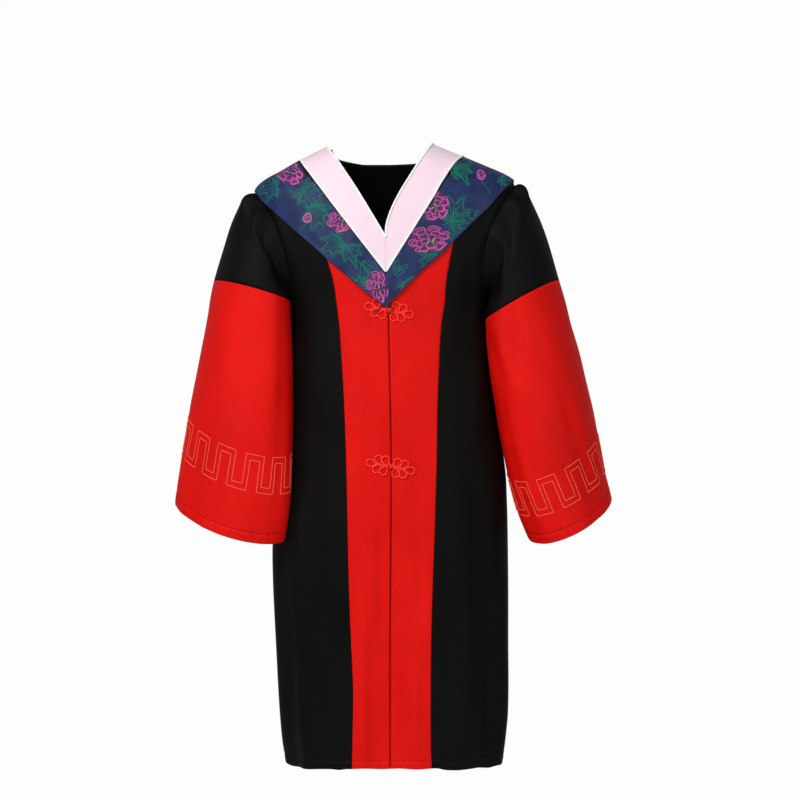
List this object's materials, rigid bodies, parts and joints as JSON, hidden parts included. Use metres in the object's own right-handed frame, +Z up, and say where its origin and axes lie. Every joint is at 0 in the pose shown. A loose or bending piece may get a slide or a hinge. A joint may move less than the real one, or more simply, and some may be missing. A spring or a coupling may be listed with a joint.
{
  "type": "graduation gown with hood",
  "caption": "Long black graduation gown with a red front and red bell sleeves, a pink and navy V hood and cord frog closures, filled out as if worn.",
  "frame": {"origin": "between the wearer's shoulders, level with the top of the neck opening, where the gown is held up", "axes": "+Z up, +X to the right of a front view, the front of the gown faces -Y"},
  "size_m": [0.8162, 0.3048, 1.1633],
  "materials": {
    "black_cloth": "smooth polyester with a soft sheen",
    "red_cloth": "smooth polyester with a soft sheen",
    "pink_satin": "satin",
    "navy_brocade": "satin with stitched flowers",
    "white_piping": "satin",
    "red_cord": "satin cord",
    "black_elastic": "matte"
  },
  "bodies": {
    "root": {"back": "black_cloth", "front_left": "black_cloth", "front_right": "black_cloth", "facing_left": "red_cloth", "facing_right": "red_cloth", "upper_sleeve_left": "black_cloth", "upper_sleeve_right": "black_cloth", "lower_sleeve_left": "red_cloth", "lower_sleeve_right": "red_cloth", "hood_pink_left": "pink_satin", "hood_pink_right": "pink_satin", "hood_navy_left": "navy_brocade", "hood_navy_right": "navy_brocade", "piping_edge_left": "white_piping", "piping_edge_right": "white_piping", "piping_seam_left": "white_piping", "piping_seam_right": "white_piping", "frog_upper_left": "red_cord", "frog_upper_right": "red_cord", "frog_upper_knot": "red_cord", "frog_lower_left": "red_cord", "frog_lower_right": "red_cord", "frog_lower_knot": "red_cord", "elastic_left": "black_elastic", "elastic_right": "black_elastic"}
  },
  "joints": []
}
